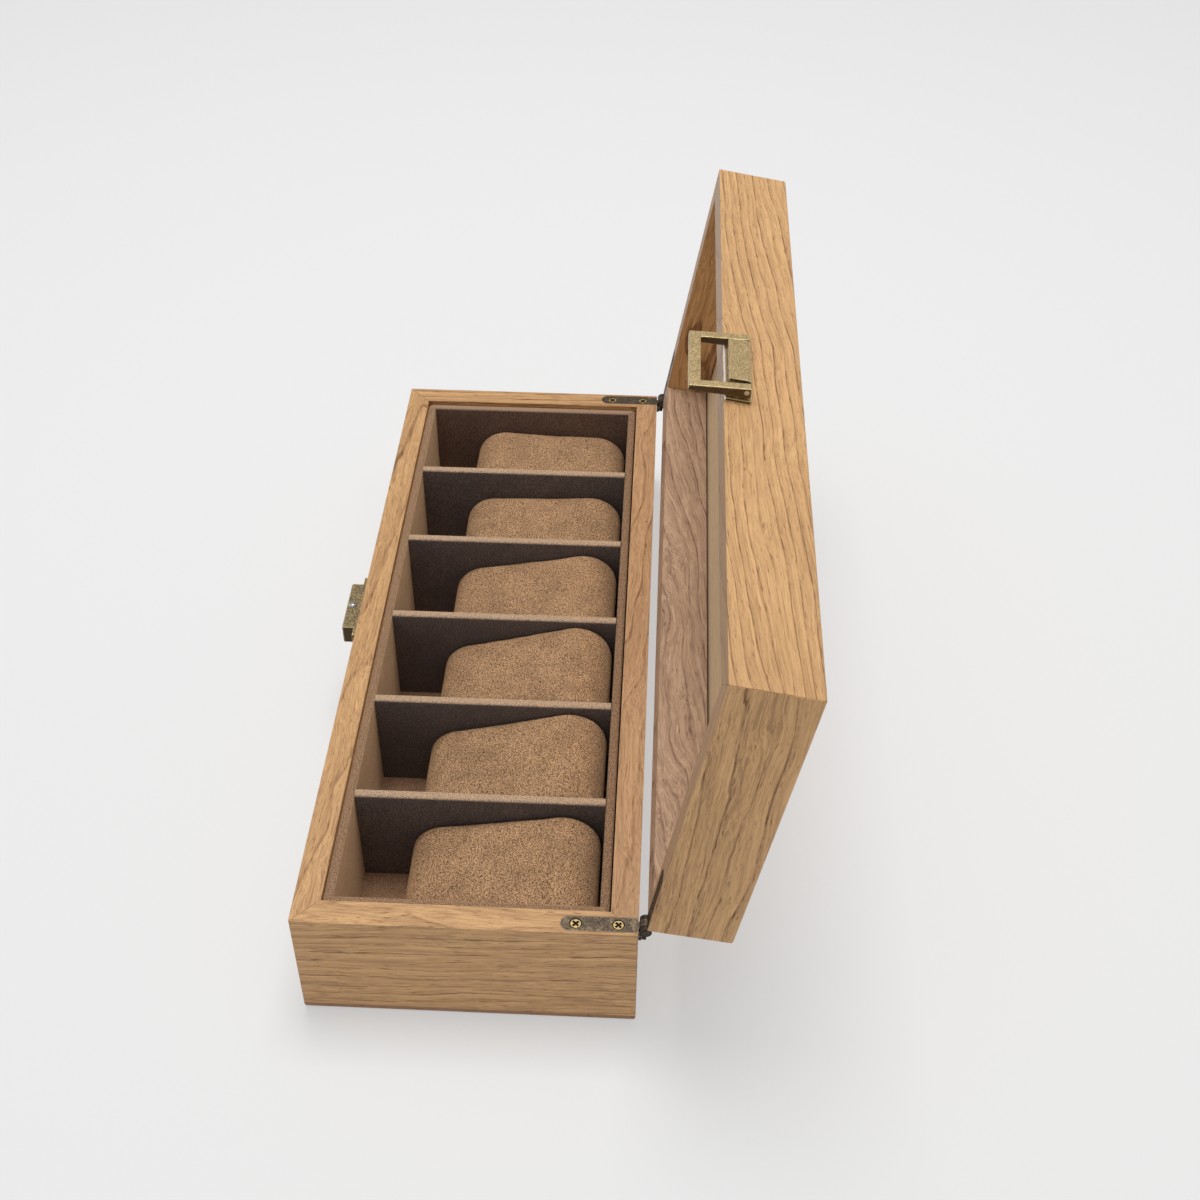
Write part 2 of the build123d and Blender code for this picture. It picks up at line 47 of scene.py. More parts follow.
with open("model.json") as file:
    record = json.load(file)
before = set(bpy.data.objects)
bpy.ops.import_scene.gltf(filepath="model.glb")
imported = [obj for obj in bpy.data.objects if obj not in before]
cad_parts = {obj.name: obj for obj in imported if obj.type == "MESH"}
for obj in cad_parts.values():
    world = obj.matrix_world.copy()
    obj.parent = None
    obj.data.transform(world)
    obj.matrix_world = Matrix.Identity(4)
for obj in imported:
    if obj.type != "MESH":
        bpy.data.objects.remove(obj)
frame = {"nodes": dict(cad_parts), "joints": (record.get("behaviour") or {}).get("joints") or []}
cad_low, cad_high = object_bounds()

MM = 0.001
IN_MM = 1000.0
NODES = frame["nodes"]
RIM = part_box("base_front_wall")[1].z
HALF_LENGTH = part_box("base_front_wall")[1].x * IN_MM
HALF_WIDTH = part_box("base_back_wall")[1].y * IN_MM


# ---------------------------------------------------------------- node trees


class Graph:
    """Short calls for building a node tree.

    Each call returns an output socket, and an input may be a socket or a value.
    """

    def __init__(self, tree):
        self.tree = tree

    def node(self, kind, **settings):
        made = self.tree.nodes.new("ShaderNode" + kind)
        for name, value in settings.items():
            setattr(made, name, value)
        return made

    def put(self, socket, value):
        if isinstance(value, bpy.types.NodeSocket):
            self.tree.links.new(value, socket)
        elif value is not None:
            socket.default_value = value

    def math(self, operation, a, b=None, clamp=False):
        made = self.node("Math", operation=operation, use_clamp=clamp)
        self.put(made.inputs[0], a)
        self.put(made.inputs[1], b)
        return made.outputs[0]

    def vector_math(self, operation, a, b=None):
        made = self.node("VectorMath", operation=operation)
        self.put(made.inputs[0], a)
        self.put(made.inputs[1], b)
        return made.outputs["Value" if operation in ("LENGTH", "DOT_PRODUCT") else "Vector"]

    def split(self, vector):
        made = self.node("SeparateXYZ")
        self.put(made.inputs[0], vector)
        return made.outputs

    def join(self, x, y, z):
        made = self.node("CombineXYZ")
        for socket, value in zip(made.inputs, (x, y, z)):
            self.put(socket, value)
        return made.outputs[0]

    def noise(self, vector, scale=1.0, detail=2.0, rough=0.5, output="Fac"):
        made = self.node("TexNoise")
        self.put(made.inputs["Vector"], vector)
        self.put(made.inputs["Scale"], scale)
        self.put(made.inputs["Detail"], detail)
        self.put(made.inputs["Roughness"], rough)
        return made.outputs[output]

    def cells(self, vector):
        """The outputs of a pattern of cells one unit wide."""
        made = self.node("TexVoronoi")
        self.put(made.inputs["Vector"], vector)
        self.put(made.inputs["Scale"], 1.0)
        return made.outputs

    def step(self, value, low, high, start=0.0, end=1.0):
        """A smooth step from start to end, as value goes from low to high."""
        made = self.node("MapRange", interpolation_type="SMOOTHSTEP")
        for i, item in enumerate((value, low, high, start, end)):
            self.put(made.inputs[i], item)
        return made.outputs[0]

    def fall(self, value, low, high, height=1.0):
        """A smooth step down from height to nothing."""
        return self.step(value, low, high, height, 0.0)

    def mix(self, factor, a, b, blend="MIX"):
        made = self.node("Mix", data_type="RGBA", blend_type=blend)
        self.put(made.inputs["Factor"], factor)
        self.put(made.inputs[6], a)
        self.put(made.inputs[7], b)
        return made.outputs[2]

    def bump(self, height, distance, strength=1.0):
        made = self.node("Bump")
        self.put(made.inputs["Height"], height)
        made.inputs["Distance"].default_value = distance
        made.inputs["Strength"].default_value = strength
        return made.outputs[0]


def colour(red, green, blue):
    """A shader colour from ordinary 0 to 255 screen values."""
    def linear(c):
        c /= 255
        return c / 12.92 if c <= 0.04045 else ((c + 0.055) / 1.055) ** 2.4
    return (linear(red), linear(green), linear(blue), 1.0)


def new_material(name):
    """(material, its graph, its Principled shader)"""
    material = bpy.data.materials.new(name)
    material.use_nodes = True
    graph = Graph(material.node_tree)
    return material, graph, material.node_tree.nodes["Principled BSDF"]


def object_mm(graph):
    """Object coordinates in millimetres."""
    place = graph.node("TexCoord").outputs["Object"]
    return graph.vector_math("MULTIPLY", place, (IN_MM,) * 3)


def wear(node, material):
    """Gives one CAD node its material."""
    NODES[node].data.materials.clear()
    NODES[node].data.materials.append(material)


# ---------------------------------------------------------------- oak veneer

LID_HINGE = next(j for j in frame["joints"] if j["name"] == "lid_hinge")
OPEN_TURN = math.radians(-LID_HINGE["range_deg"][0])
HINGE = Vector(LID_HINGE["pos_m"]) * IN_MM


def shut_mm(graph):
    """Object coordinates in millimetres, with the lid's pieces turned to where they lie when it is shut."""
    turn = Matrix.Rotation(OPEN_TURN, 3, "X")
    made = graph.node("Mapping")
    graph.put(made.inputs["Vector"], object_mm(graph))
    made.inputs["Rotation"].default_value = (OPEN_TURN, 0, 0)
    made.inputs["Location"].default_value = HINGE - turn @ HINGE
    return made.outputs[0]


# Painted shade in the shadow gap between the shut lid's walls and its panel, in mm: its heights, how far in
# from the outside it lies, and how far it fades
GAP_LOW = 64.75
GAP_HIGH = 65.6
GAP_REACH = 7.7
GAP_FADE = 0.1
GAP_STRENGTH = 0.85
GAP_SHADE = colour(40, 26, 18)

# A cut of veneer: the grain's axis, a seed, the place of the growth rings' centre across the grain in mm, how
# far that centre moves for each mm along the grain, and the rings' spacing and sway in mm
CUTS = {
    "base_side": dict(along=0.0, seed=1.0, rings=(-20.0, -60.0), tilt=(0.0, 0.06), pitch=4.4, sway=7.0),
    "base_back": dict(along=0.0, seed=2.0, rings=(-15.0, -40.0), tilt=(0.0, -0.08), pitch=5.0, sway=9.0),
    "base_end": dict(along=1.0, seed=4.0, rings=(90.0, -90.0), tilt=(0.0, 0.02), pitch=3.6, sway=5.0),
    "board": dict(along=0.0, seed=5.0, rings=(0.0, -50.0), tilt=(0.0, 0.0), pitch=5.0, sway=6.0),
    "lid_side": dict(along=0.0, seed=6.0, rings=(-45.0, -50.0), tilt=(0.0, 0.075), pitch=3.6, sway=5.5),
    "lid_back": dict(along=0.0, seed=7.4, rings=(12.0, 16.0), tilt=(0.03, 0.13), pitch=4.6, sway=11.0),
    "lid_end": dict(along=1.0, seed=9.0, rings=(100.0, -30.0), tilt=(0.0, 0.04), pitch=4.2, sway=6.0),
}

# How often each of oak's features repeats along and across the grain, per mm
BROAD_SWAY = (0.011, 0.035)
FINE_SWAY = (0.06, 0.2)
PATCHES = (0.008, 0.035)
STREAKS = (0.02, 0.75)
FIBRES = (0.07, 2.6)
HAIRS = (0.035, 1.5)
BREAKS = (0.09, 0.9)
LONG_PORES = (0.13, 1.5)
SHORT_PORES = (0.3, 2.8)

# Shares of a growth ring: where its dark line is full, where the line ends, and where the fade behind it ends
RING_LINE_FULL = 0.07
RING_LINE_END = 0.24
RING_FADE_END = 0.9

SEED_SPACING = 137.0
GRAIN_RELIEF = 0.14 * MM
OAK_GLOSS = 0.35
OAK_ROUGHNESS = 0.48
PORE_ROUGHNESS = 0.3
# What a normal's part along X is on an end face, and along Z where a face turns to the underside
END_FACE = 0.7
UNDERSIDE = (-0.5, -0.8)
# The hairline of a mitre: its full and its faded width in mm, and its strength
MITRE_LINE = (0.05, 0.3)
MITRE_STRENGTH = 0.5


def oak(name, cut, end_cut=None, in_lid=False, light=colour(222, 176, 122), dark=colour(140, 99, 62),
        pore=colour(98, 65, 40), rim=None, inside=None, contrast=1.0, waver=1.6, mitred=True):
    """Open-pored oak veneer of one cut, with end_cut on faces square to X.

    rim tints what faces down in the shut lid, or inside lightens it. waver is the grain's small sway in mm,
    and mitred draws the hairline where two walls meet.
    """
    material, g, shader = new_material(name)
    place = shut_mm(g) if in_lid else object_mm(g)
    facing = g.node("TexCoord").outputs["Normal"]
    if in_lid:
        turned = g.node("Mapping", vector_type="VECTOR")
        g.put(turned.inputs["Vector"], facing)
        turned.inputs["Rotation"].default_value = (OPEN_TURN, 0, 0)
        facing = turned.outputs[0]
    face_x, _, face_z = g.split(facing)
    on_end = g.math("GREATER_THAN", g.math("ABSOLUTE", face_x), END_FACE)

    def chosen(key, item=None):
        """This cut's value, or the end cut's on an end face."""
        here, there = CUTS[cut][key], CUTS[end_cut or cut][key]
        if item is not None:
            here, there = here[item], there[item]
        if here == there:
            return here
        return g.math("ADD", here, g.math("MULTIPLY", on_end, there - here))

    # u runs along the grain, and v and z across it
    x, y, z = g.split(place)
    swap = g.math("MULTIPLY", g.math("SUBTRACT", y, x), chosen("along"))
    u = g.math("ADD", g.math("ADD", x, swap), g.math("MULTIPLY", chosen("seed"), SEED_SPACING))
    v = g.math("SUBTRACT", y, swap)
    board = g.join(u, v, z)

    def swayed(repeats, amount):
        """A smooth drift of that many mm."""
        along, across = repeats
        spot = g.vector_math("MULTIPLY", board, (along, across, across))
        drift = g.vector_math("SUBTRACT", g.noise(spot, detail=2.0, output="Color"), (0.5,) * 3)
        made = g.node("VectorMath", operation="SCALE")
        g.put(made.inputs[0], drift)
        g.put(made.inputs["Scale"], amount)
        return made.outputs[0]

    sway = g.split(g.vector_math("ADD", swayed(BROAD_SWAY, g.math("MULTIPLY", chosen("sway"), 2.0)),
                                 swayed(FINE_SWAY, waver)))

    def from_centre(across, item):
        centre = g.math("ADD", g.math("MULTIPLY", u, chosen("tilt", item)), chosen("rings", item))
        return g.math("SUBTRACT", g.math("ADD", across, sway[item + 1]), centre)

    deep, wide = from_centre(v, 0), from_centre(z, 1)
    grain = g.join(u, deep, wide)

    def stretched(repeats):
        along, across = repeats
        return g.vector_math("MULTIPLY", grain, (along, across, across))

    # each growth ring: a dark line, a fade behind it, and its own strength
    ring = g.math("DIVIDE", g.vector_math("LENGTH", g.join(0.0, deep, wide)), chosen("pitch"))
    phase = g.math("FRACT", ring)
    each = g.node("TexWhiteNoise", noise_dimensions="1D")
    g.put(each.inputs["W"], g.math("FLOOR", ring))
    strength = g.step(each.outputs["Value"], 0.0, 1.0, 0.45, 1.0)
    line = g.math("MULTIPLY", g.step(phase, 0.0, RING_LINE_FULL),
                  g.fall(phase, RING_LINE_FULL, RING_LINE_END))
    fade = g.math("MULTIPLY", g.step(phase, 0.0, 0.08), g.fall(phase, 0.1, RING_FADE_END, 0.3))
    early = g.math("MULTIPLY", g.math("MAXIMUM", line, fade), strength)
    broken = g.noise(stretched(BREAKS), detail=4.0, rough=0.65)
    early = g.math("MULTIPLY", early, g.step(broken, 0.36, 0.6, 0.4, 1.35))

    hair = g.step(g.noise(stretched(HAIRS), detail=3.0, rough=0.6), 0.54, 0.64, 0.0, 0.5)
    streak = g.noise(stretched(STREAKS), detail=5.0, rough=0.72)
    fibre = g.noise(stretched(FIBRES), detail=3.0, rough=0.7)
    patch = g.noise(stretched(PATCHES), detail=1.0)

    def pores(repeats, smallest, largest):
        """Open pores, larger where the growth ring is dark."""
        cells = g.cells(stretched(repeats))
        size = g.step(g.split(cells["Color"])[0], 0.0, 1.0, smallest, largest)
        size = g.math("MULTIPLY", size, g.math("ADD", g.math("MULTIPLY", early, 0.75), 0.45))
        return g.math("SUBTRACT", 1.0, g.step(cells["Distance"], g.math("MULTIPLY", size, 0.35), size))

    short = g.math("MULTIPLY", pores(SHORT_PORES, 0.05, 0.5), 0.6)
    vessel = g.math("MAXIMUM", pores(LONG_PORES, 0.1, 0.52), short)

    tone = g.mix(g.step(streak, 0.36, 0.64, 0.0, 0.7 * contrast), light, g.mix(0.5, light, dark))
    tone = g.mix(g.step(fibre, 0.42, 0.64, 0.0, 0.42 * contrast), tone, dark)
    tone = g.mix(g.math("MULTIPLY", hair, contrast), tone, dark)
    tone = g.mix(g.step(patch, 0.35, 0.7, 0.0, 0.14), tone, dark)
    tone = g.mix(g.math("MULTIPLY", early, 0.9, clamp=True), tone, dark)
    tone = g.mix(g.math("MULTIPLY", vessel, 0.7), tone, pore)
    underside = g.step(face_z, *UNDERSIDE)
    if rim:
        tone = g.mix(g.math("MULTIPLY", underside, 0.6), tone, rim)
    if inside:
        tone = g.mix(underside, tone, g.mix(1.0, tone, inside, "SCREEN"))

    from_middle_x, from_middle_y = g.math("ABSOLUTE", x), g.math("ABSOLUTE", y)
    # Painted shade darkens the shadow gap under the shut lid's panel
    if in_lid:
        reach_x = g.math("LESS_THAN", from_middle_x, HALF_LENGTH - GAP_REACH)
        reach_y = g.math("LESS_THAN", from_middle_y, HALF_WIDTH - GAP_REACH)
        rise = g.step(z, GAP_LOW, GAP_LOW + GAP_FADE, 0.0, GAP_STRENGTH)
        level = g.math("MULTIPLY", rise, g.math("LESS_THAN", z, GAP_HIGH))
        painted_gap_shade = g.math("MULTIPLY", g.math("MULTIPLY", reach_x, reach_y), level)
        tone = g.mix(g.math("MULTIPLY", painted_gap_shade, g.fall(face_z, *UNDERSIDE)), tone, GAP_SHADE)

    if mitred:
        mitre = g.math("SUBTRACT", g.math("SUBTRACT", HALF_LENGTH, from_middle_x),
                       g.math("SUBTRACT", HALF_WIDTH, from_middle_y))
        tone = g.mix(g.fall(g.math("ABSOLUTE", mitre), *MITRE_LINE, MITRE_STRENGTH), tone, pore)

    height = g.math("SUBTRACT", g.math("MULTIPLY", g.math("ADD", fibre, streak), 0.3),
                    g.math("ADD", vessel, g.math("MULTIPLY", early, 0.35)))
    g.put(shader.inputs["Base Color"], tone)
    rougher = g.math("MULTIPLY", vessel, PORE_ROUGHNESS)
    g.put(shader.inputs["Roughness"], g.math("ADD", OAK_ROUGHNESS, rougher))
    g.put(shader.inputs["Normal"], g.bump(height, GRAIN_RELIEF, 0.5))
    shader.inputs["Specular IOR Level"].default_value = OAK_GLOSS
    return material


def dress_wood():
    base_end = oak("oak_base_end", "base_end")
    lid_end = oak("oak_lid_end", "lid_end", in_lid=True, rim=colour(160, 134, 112))
    wear("base_front_wall", oak("oak_base_front", "base_side"))
    # Painted shade: the back wall's darker tone stands in for the shade the open lid casts on the back rim
    wear("base_back_wall", oak("oak_base_back", "base_back", light=colour(208, 163, 118)))
    wear("base_left_wall", base_end)
    wear("base_right_wall", base_end)
    wear("base_bottom_board", oak("oak_board", "board", light=colour(160, 124, 94), mitred=False))
    wear("lid_front_wall", oak("oak_lid_front", "lid_side", in_lid=True, rim=colour(150, 128, 110),
                               contrast=0.7, waver=0.6))
    # Painted light and shade: a greyer, pinker copy of the oak, toned for how the open lid's floor, its inner
    # face, is lit; the same tone shows outside
    wear("lid_back_wall", oak("oak_lid_back", "lid_back", in_lid=True,
                              light=colour(204, 172, 142), dark=colour(128, 94, 76)))
    wear("lid_left_wall", lid_end)
    wear("lid_right_wall", lid_end)
    wear("lid_top_panel", oak("oak_lid_top", "lid_side", "lid_end", in_lid=True, inside=(0.3, 0.28, 0.2, 1),
                              contrast=0.7, waver=0.6, mitred=False))


# ---------------------------------------------------------------- suede


# How often the nap, its finer specks and the strokes of a hand repeat, per mm, and where the nap turns dark
NAP_SCALE = 2.2
SPECK_SCALE = 4.2
STROKE_SCALE = 0.09
NAP_TURN = (0.42, 0.58)
NAP_RELIEF = 0.35 * MM


def suede(name, light, dark, top_light=None, top_dark=None, sheen=0.3):
    """Short-napped suede cloth. top_light and top_dark are the shades on an edge that faces up: painted light
    and shade, set by how light falls there.
    """
    material, g, shader = new_material(name)
    place = object_mm(g)
    nap = g.noise(place, scale=NAP_SCALE, detail=3.0, rough=0.7)
    speck = g.noise(place, scale=SPECK_SCALE, detail=2.0, rough=0.6)
    stroke = g.noise(place, scale=STROKE_SCALE, detail=2.0, rough=0.55)
    shade = g.math("ADD", g.math("MULTIPLY", nap, 0.6), g.math("MULTIPLY", speck, 0.4))
    tone = g.mix(g.step(shade, *NAP_TURN), dark, light)
    tone = g.mix(g.step(stroke, 0.35, 0.7, 0.0, 0.25), tone, dark)
    # Painted light and shade: an edge that faces up gets its own shades, for the light that falls on it
    if top_light:
        up = g.split(g.node("TexCoord").outputs["Normal"])[2]
        painted_top_tone = g.mix(g.step(shade, *NAP_TURN), top_dark or light, top_light)
        tone = g.mix(g.step(up, 0.25, 0.8), tone, painted_top_tone)
    g.put(shader.inputs["Base Color"], tone)
    shader.inputs["Roughness"].default_value = 0.95
    shader.inputs["Specular IOR Level"].default_value = 0.1
    shader.inputs["Sheen Weight"].default_value = sheen
    shader.inputs["Sheen Roughness"].default_value = 0.5
    shader.inputs["Sheen Tint"].default_value = light
    g.put(shader.inputs["Normal"], g.bump(shade, NAP_RELIEF, 0.8))
    return material


def dress_lining():
    # Painted light and shade: the lining's faces are made paler against the shade on them, and its top edges
    # darker against the full light on them
    front = suede("suede_lining", colour(226, 190, 152), colour(146, 118, 92), colour(182, 148, 116),
                  colour(98, 74, 56), sheen=0.7)
    # Painted shade: the far end's lining is a dark grey copy of the suede, for the shade on its face towards
    # +X, with a light top
    far = suede("suede_lining_end", colour(142, 120, 106), colour(90, 74, 66), colour(180, 144, 112))
    # Painted shade: the back lining is a darker copy of the suede, for the shade of the open lid on it
    back = suede("suede_lining_back", colour(150, 124, 100), colour(96, 76, 60), colour(176, 140, 108),
                 colour(84, 62, 47), sheen=0.5)
    wear("lining_front", front)
    wear("lining_right", front)
    wear("lining_back", back)
    wear("lining_left", far)
    wear("floor_lining", suede("suede_floor", colour(196, 156, 122), colour(128, 98, 74)))
    # Painted shade and light: the dividers' faces are a dark grey copy of the suede, for the shade between the
    # pillows, and their tops are light
    divider = suede("suede_divider", colour(130, 119, 115), colour(80, 73, 72), colour(222, 182, 138))
    for i in range(1, 6):
        wear(f"divider_{i}", divider)


# ---------------------------------------------------------------- pillows

PILLOW_TILTS = (-2.0, 2.3, 11.4, 15.3, 14.9, 10.3)
PILLOW_SLACK = 0.3 * MM
PILLOW_WIDTH = 67.5 * MM - 2 * PILLOW_SLACK
PILLOW_HEIGHT = 29.5 * MM - 2 * PILLOW_SLACK
PILLOW_ROUND = 13.5 * MM
PILLOW_EDGE = 1.5 * MM
BODY_STEPS = 28
EDGE_STEPS = 5
CORNER_STEPS = 12
TOP_STEPS = 20
SIDE_STEPS = 2
# Rings from the rim of an end to its middle: each one's share of the outline, and how far it is pressed in, in
# mm. The second is the groove along the wrap's folded edge.
CAP_RINGS = ((0.955, 0.0), (0.935, 0.45), (0.915, 0.0), (0.8, 0.0), (0.6, 0.0), (0.4, 0.0), (0.2, 0.0))
SWELL_FRAMES = 20
SWELL_PRESSURE = 4.0
SWELL_LIMIT = 0.55 * MM
CLOTH_MASS = 0.3
CLOTH_QUALITY = 6
# The height and width in mm of the foam's broad lumps and of its small ones
LUMPS = ((0.16, 15.0), (0.05, 4.0))


def rounded_outline(width, height, radius):
    """Points round a rectangle with round corners, anticlockwise from the right-hand side."""
    flats = ((width, TOP_STEPS), (height, SIDE_STEPS))
    points = []
    for i, (side_x, side_y) in enumerate(((1, 1), (-1, 1), (-1, -1), (1, -1))):
        centre = Vector((side_x * (width / 2 - radius), side_y * (height / 2 - radius)))
        for k in range(CORNER_STEPS + 1):
            turn = math.radians(90 * i + 90 * k / CORNER_STEPS)
            points.append(centre + radius * Vector((math.cos(turn), math.sin(turn))))
        size, steps = flats[i % 2]
        onward = Vector((-math.sin(turn), math.cos(turn))) * (size - 2 * radius)
        corner = points[-1]
        points += [corner + onward * k / steps for k in range(1, steps)]
    return points


def pillow_profile(half):
    """(place along X, how far in from the full section) for each ring of a pillow's wrap, end to end."""
    end = []
    for k in range(EDGE_STEPS):
        turn = math.radians(90 * k / EDGE_STEPS)
        end.append((-half + PILLOW_EDGE * (1 - math.sin(turn)), PILLOW_EDGE * (1 - math.cos(turn))))
    end.append((-half, PILLOW_EDGE))
    body = half - PILLOW_EDGE
    middle = [(body * (2 * k / BODY_STEPS - 1), 0.0) for k in range(1, BODY_STEPS)]
    return end[::-1] + middle + [(-x, inset) for x, inset in end]


def pillow_mesh(number, tilt):
    """A foam bar wrapped in suede along X, with a cap set in at each end, lying at its own tilt."""
    low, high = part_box(f"pillow_{number}")
    half = (high.x - low.x) / 2 - PILLOW_SLACK
    mesh = bmesh.new()
    rings = []
    for x, inset in pillow_profile(half):
        outline = rounded_outline(PILLOW_WIDTH - 2 * inset, PILLOW_HEIGHT - 2 * inset, PILLOW_ROUND - inset)
        rings.append([mesh.verts.new((x, p.x, p.y)) for p in outline])
    first, last = rings[0], rings[-1]
    for share, depth in CAP_RINGS:
        rings.insert(0, [mesh.verts.new((-half + depth * MM, v.co.y * share, v.co.z * share)) for v in first])
        rings.append([mesh.verts.new((half - depth * MM, v.co.y * share, v.co.z * share)) for v in last])
    for one, two in zip(rings, rings[1:]):
        for i in range(len(one)):
            j = (i + 1) % len(one)
            mesh.faces.new((one[i], one[j], two[j], two[i]))
    mesh.faces.new(rings[0])
    mesh.faces.new(rings[-1])
    bmesh.ops.recalc_face_normals(mesh, faces=mesh.faces)
    data = bpy.data.meshes.new(f"pillow_cover_{number}")
    mesh.to_mesh(data)
    mesh.free()
    data.transform(Matrix.Translation((low + high) / 2) @ Matrix.Rotation(math.radians(tilt), 4, "X"))
    for face in data.polygons:
        face.use_smooth = True
    made = bpy.data.objects.new(f"pillow_cover_{number}", data)
    bpy.context.scene.collection.objects.link(made)
    return made


def swell(covers):
    """Blows the covers up like cloth over foam, all in one run, and keeps each point within its limit."""
    scene = bpy.context.scene
    for cover in covers:
        cloth = cover.modifiers.new("cloth", "CLOTH")
        cloth.settings.quality = CLOTH_QUALITY
        cloth.settings.mass = CLOTH_MASS
        cloth.settings.use_pressure = True
        cloth.settings.uniform_pressure_force = SWELL_PRESSURE
        cloth.settings.effector_weights.gravity = 0.0
        cloth.collision_settings.use_collision = False
        cloth.point_cache.frame_start = 1
        cloth.point_cache.frame_end = SWELL_FRAMES
    for step in range(1, SWELL_FRAMES + 1):
        scene.frame_set(step)
    view = bpy.context.evaluated_depsgraph_get()
    for cover in covers:
        grown = [v.co.copy() for v in cover.evaluated_get(view).data.vertices]
        cover.modifiers.clear()
        for vertex, place in zip(cover.data.vertices, grown):
            move = place - vertex.co
            if move.length > SWELL_LIMIT:
                move *= SWELL_LIMIT / move.length
            vertex.co += move
    scene.frame_set(1)


def settle(cover, number):
    """The foam's slight unevenness, and one subdivision."""
    seed = Vector((31.0 * number, 0, 0))
    moved = []
    for vertex in cover.data.vertices:
        place = vertex.co * IN_MM + seed
        lump = sum(height * noise.noise(place / width) for height, width in LUMPS)
        moved.append(vertex.co + vertex.normal * lump * MM)
    for vertex, place in zip(cover.data.vertices, moved):
        vertex.co = place
    smooth = cover.modifiers.new("smooth", "SUBSURF")
    smooth.levels = 1
    smooth.render_levels = 1


def make_pillows():
    cloth = suede("suede_pillow", colour(220, 176, 134), colour(82, 60, 42))
    covers = [pillow_mesh(number, tilt) for number, tilt in enumerate(PILLOW_TILTS, 1)]
    swell(covers)
    for number, cover in enumerate(covers, 1):
        settle(cover, number)
        cover.data.materials.append(cloth)
        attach(cover, f"pillow_{number}")
        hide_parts(f"pillow_{number}")


# ---------------------------------------------------------------- metal


GRIME_AND_SHADE = colour(34, 27, 18)
PAINTED_GLINT = colour(252, 244, 242)
# How far round itself a face looks for the walls of a hollow that holds grime and painted shade
HOLLOW = 0.8 * MM
# How far over the rim the bracket's lip carries a painted white glint, and how far under it the screws'
# recesses start to carry painted shade, in mm
LIP_HEIGHT = 0.65
RECESS_DEPTH = 0.35
TONE_FADE = 0.1
SPECK_RATIO = 2.2
CLOUD_SCALE = 0.3
METALLIC = 0.7
METAL_RELIEF = 0.05 * MM
SHADE_SAMPLES = 6


def metal(name, base, bright, grime, rough, side=None, edge=0.35 * MM, grain_scale=3.2, scuff=0.0,
          below=None, below_tone=GRIME_AND_SHADE, in_lid=False):
    """Plated metal: fine satin grain, grime and painted shade in its hollows, and along its edges a rubbed
    wear that is also a painted highlight.

    side is a darker tone on faces square to X, partly patina and partly painted shade, and scuff the strength
    of pale rubbed patches. What lies under the height below, in mm in the shut box, is below_tone.
    """
    material, g, shader = new_material(name)
    place = object_mm(g)
    grit = g.noise(place, scale=grain_scale, detail=3.0, rough=0.6)
    speck = g.noise(place, scale=SPECK_RATIO * grain_scale, detail=1.0)
    cloud = g.noise(place, scale=CLOUD_SCALE, detail=3.0, rough=0.6)
    grain = g.math("ADD", g.math("MULTIPLY", grit, 0.6), g.math("MULTIPLY", speck, 0.4))
    soft = g.node("Bevel", samples=SHADE_SAMPLES)
    soft.inputs["Radius"].default_value = edge
    flat = g.node("NewGeometry").outputs["Normal"]
    # Rubbed wear along the edges, which is also a painted highlight
    rubbed_and_highlit = g.fall(g.vector_math("DOT_PRODUCT", soft.outputs[0], flat), 0.8, 0.97)
    tone = g.mix(g.step(cloud, 0.4, 0.7, 0.0, 0.25), base, grime)
    tone = g.mix(g.step(grain, 0.43, 0.57, 0.0, 0.8), tone, grime)
    tone = g.mix(g.step(cloud, 0.44, 0.36, 0.0, scuff), tone, bright)
    # Faces square to X: partly patina, partly painted shade
    if side:
        side_patina_and_shade = g.math("ABSOLUTE", g.split(g.node("TexCoord").outputs["Normal"])[0])
        tone = g.mix(g.step(side_patina_and_shade, 0.6, 0.8), tone, g.mix(g.step(grain, 0.4, 0.6, 0.0, 0.5), side, grime))
    tone = g.mix(g.math("MULTIPLY", rubbed_and_highlit, g.step(grit, 0.25, 0.5, 0.5, 1.0)), tone, bright)
    if below:
        height = g.split(shut_mm(g) if in_lid else place)[2]
        tone = g.mix(g.fall(height, below, below + TONE_FADE), tone, below_tone)
    # Grime and painted shade in the hollows
    hollow_grime_and_shade = g.node("AmbientOcclusion", samples=SHADE_SAMPLES, only_local=True)
    hollow_grime_and_shade.inputs["Distance"].default_value = HOLLOW
    tone = g.mix(g.fall(hollow_grime_and_shade.outputs["AO"], 0.5, 0.9), tone, GRIME_AND_SHADE)
    g.put(shader.inputs["Base Color"], tone)
    shader.inputs["Metallic"].default_value = METALLIC
    g.put(shader.inputs["Roughness"], g.math("ADD", rough, g.math("MULTIPLY", grain, 0.2)))
    g.put(shader.inputs["Normal"], g.bump(grain, METAL_RELIEF, 0.6))
    return material


